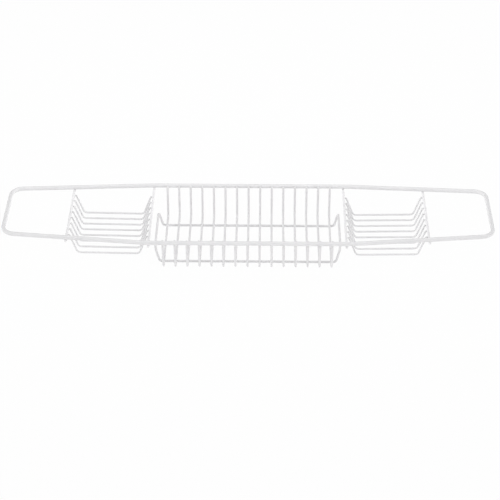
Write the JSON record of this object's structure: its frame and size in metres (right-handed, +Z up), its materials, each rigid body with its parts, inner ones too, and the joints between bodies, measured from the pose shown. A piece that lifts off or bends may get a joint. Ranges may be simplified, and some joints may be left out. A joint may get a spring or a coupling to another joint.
{
  "type": "bath caddy",
  "caption": "Coated wire rack that bridges a bath, with a deep basket in the middle and a shallow soap dish at each side.",
  "frame": {"origin": "under the middle of the caddy, on the plane that the base loop stands on", "axes": "+X along the frame, +Y to the back rail, +Z up out of the basket"},
  "size_m": [0.6958, 0.1548, 0.0589],
  "materials": {
    "white_coat": "glossy white plastic coat on steel wire"
  },
  "bodies": {
    "root": {"frame": "white_coat", "base_loop": "white_coat", "basket_wire_01": "white_coat", "basket_wire_02": "white_coat", "basket_wire_03": "white_coat", "basket_wire_04": "white_coat", "basket_wire_05": "white_coat", "basket_wire_06": "white_coat", "basket_wire_07": "white_coat", "basket_wire_08": "white_coat", "basket_wire_09": "white_coat", "basket_wire_10": "white_coat", "basket_wire_11": "white_coat", "basket_wire_12": "white_coat", "basket_wire_13": "white_coat", "basket_wire_14": "white_coat", "basket_wire_15": "white_coat", "left_dish_inner_bar": "white_coat", "left_dish_outer_bar": "white_coat", "left_dish_wire_1": "white_coat", "left_dish_wire_2": "white_coat", "left_dish_wire_3": "white_coat", "left_dish_wire_4": "white_coat", "left_dish_wire_5": "white_coat", "left_dish_wire_6": "white_coat", "left_dish_wire_7": "white_coat", "left_dish_wire_8": "white_coat", "right_dish_inner_bar": "white_coat", "right_dish_outer_bar": "white_coat", "right_dish_wire_1": "white_coat", "right_dish_wire_2": "white_coat", "right_dish_wire_3": "white_coat", "right_dish_wire_4": "white_coat", "right_dish_wire_5": "white_coat", "right_dish_wire_6": "white_coat", "right_dish_wire_7": "white_coat", "right_dish_wire_8": "white_coat"}
  },
  "joints": []
}
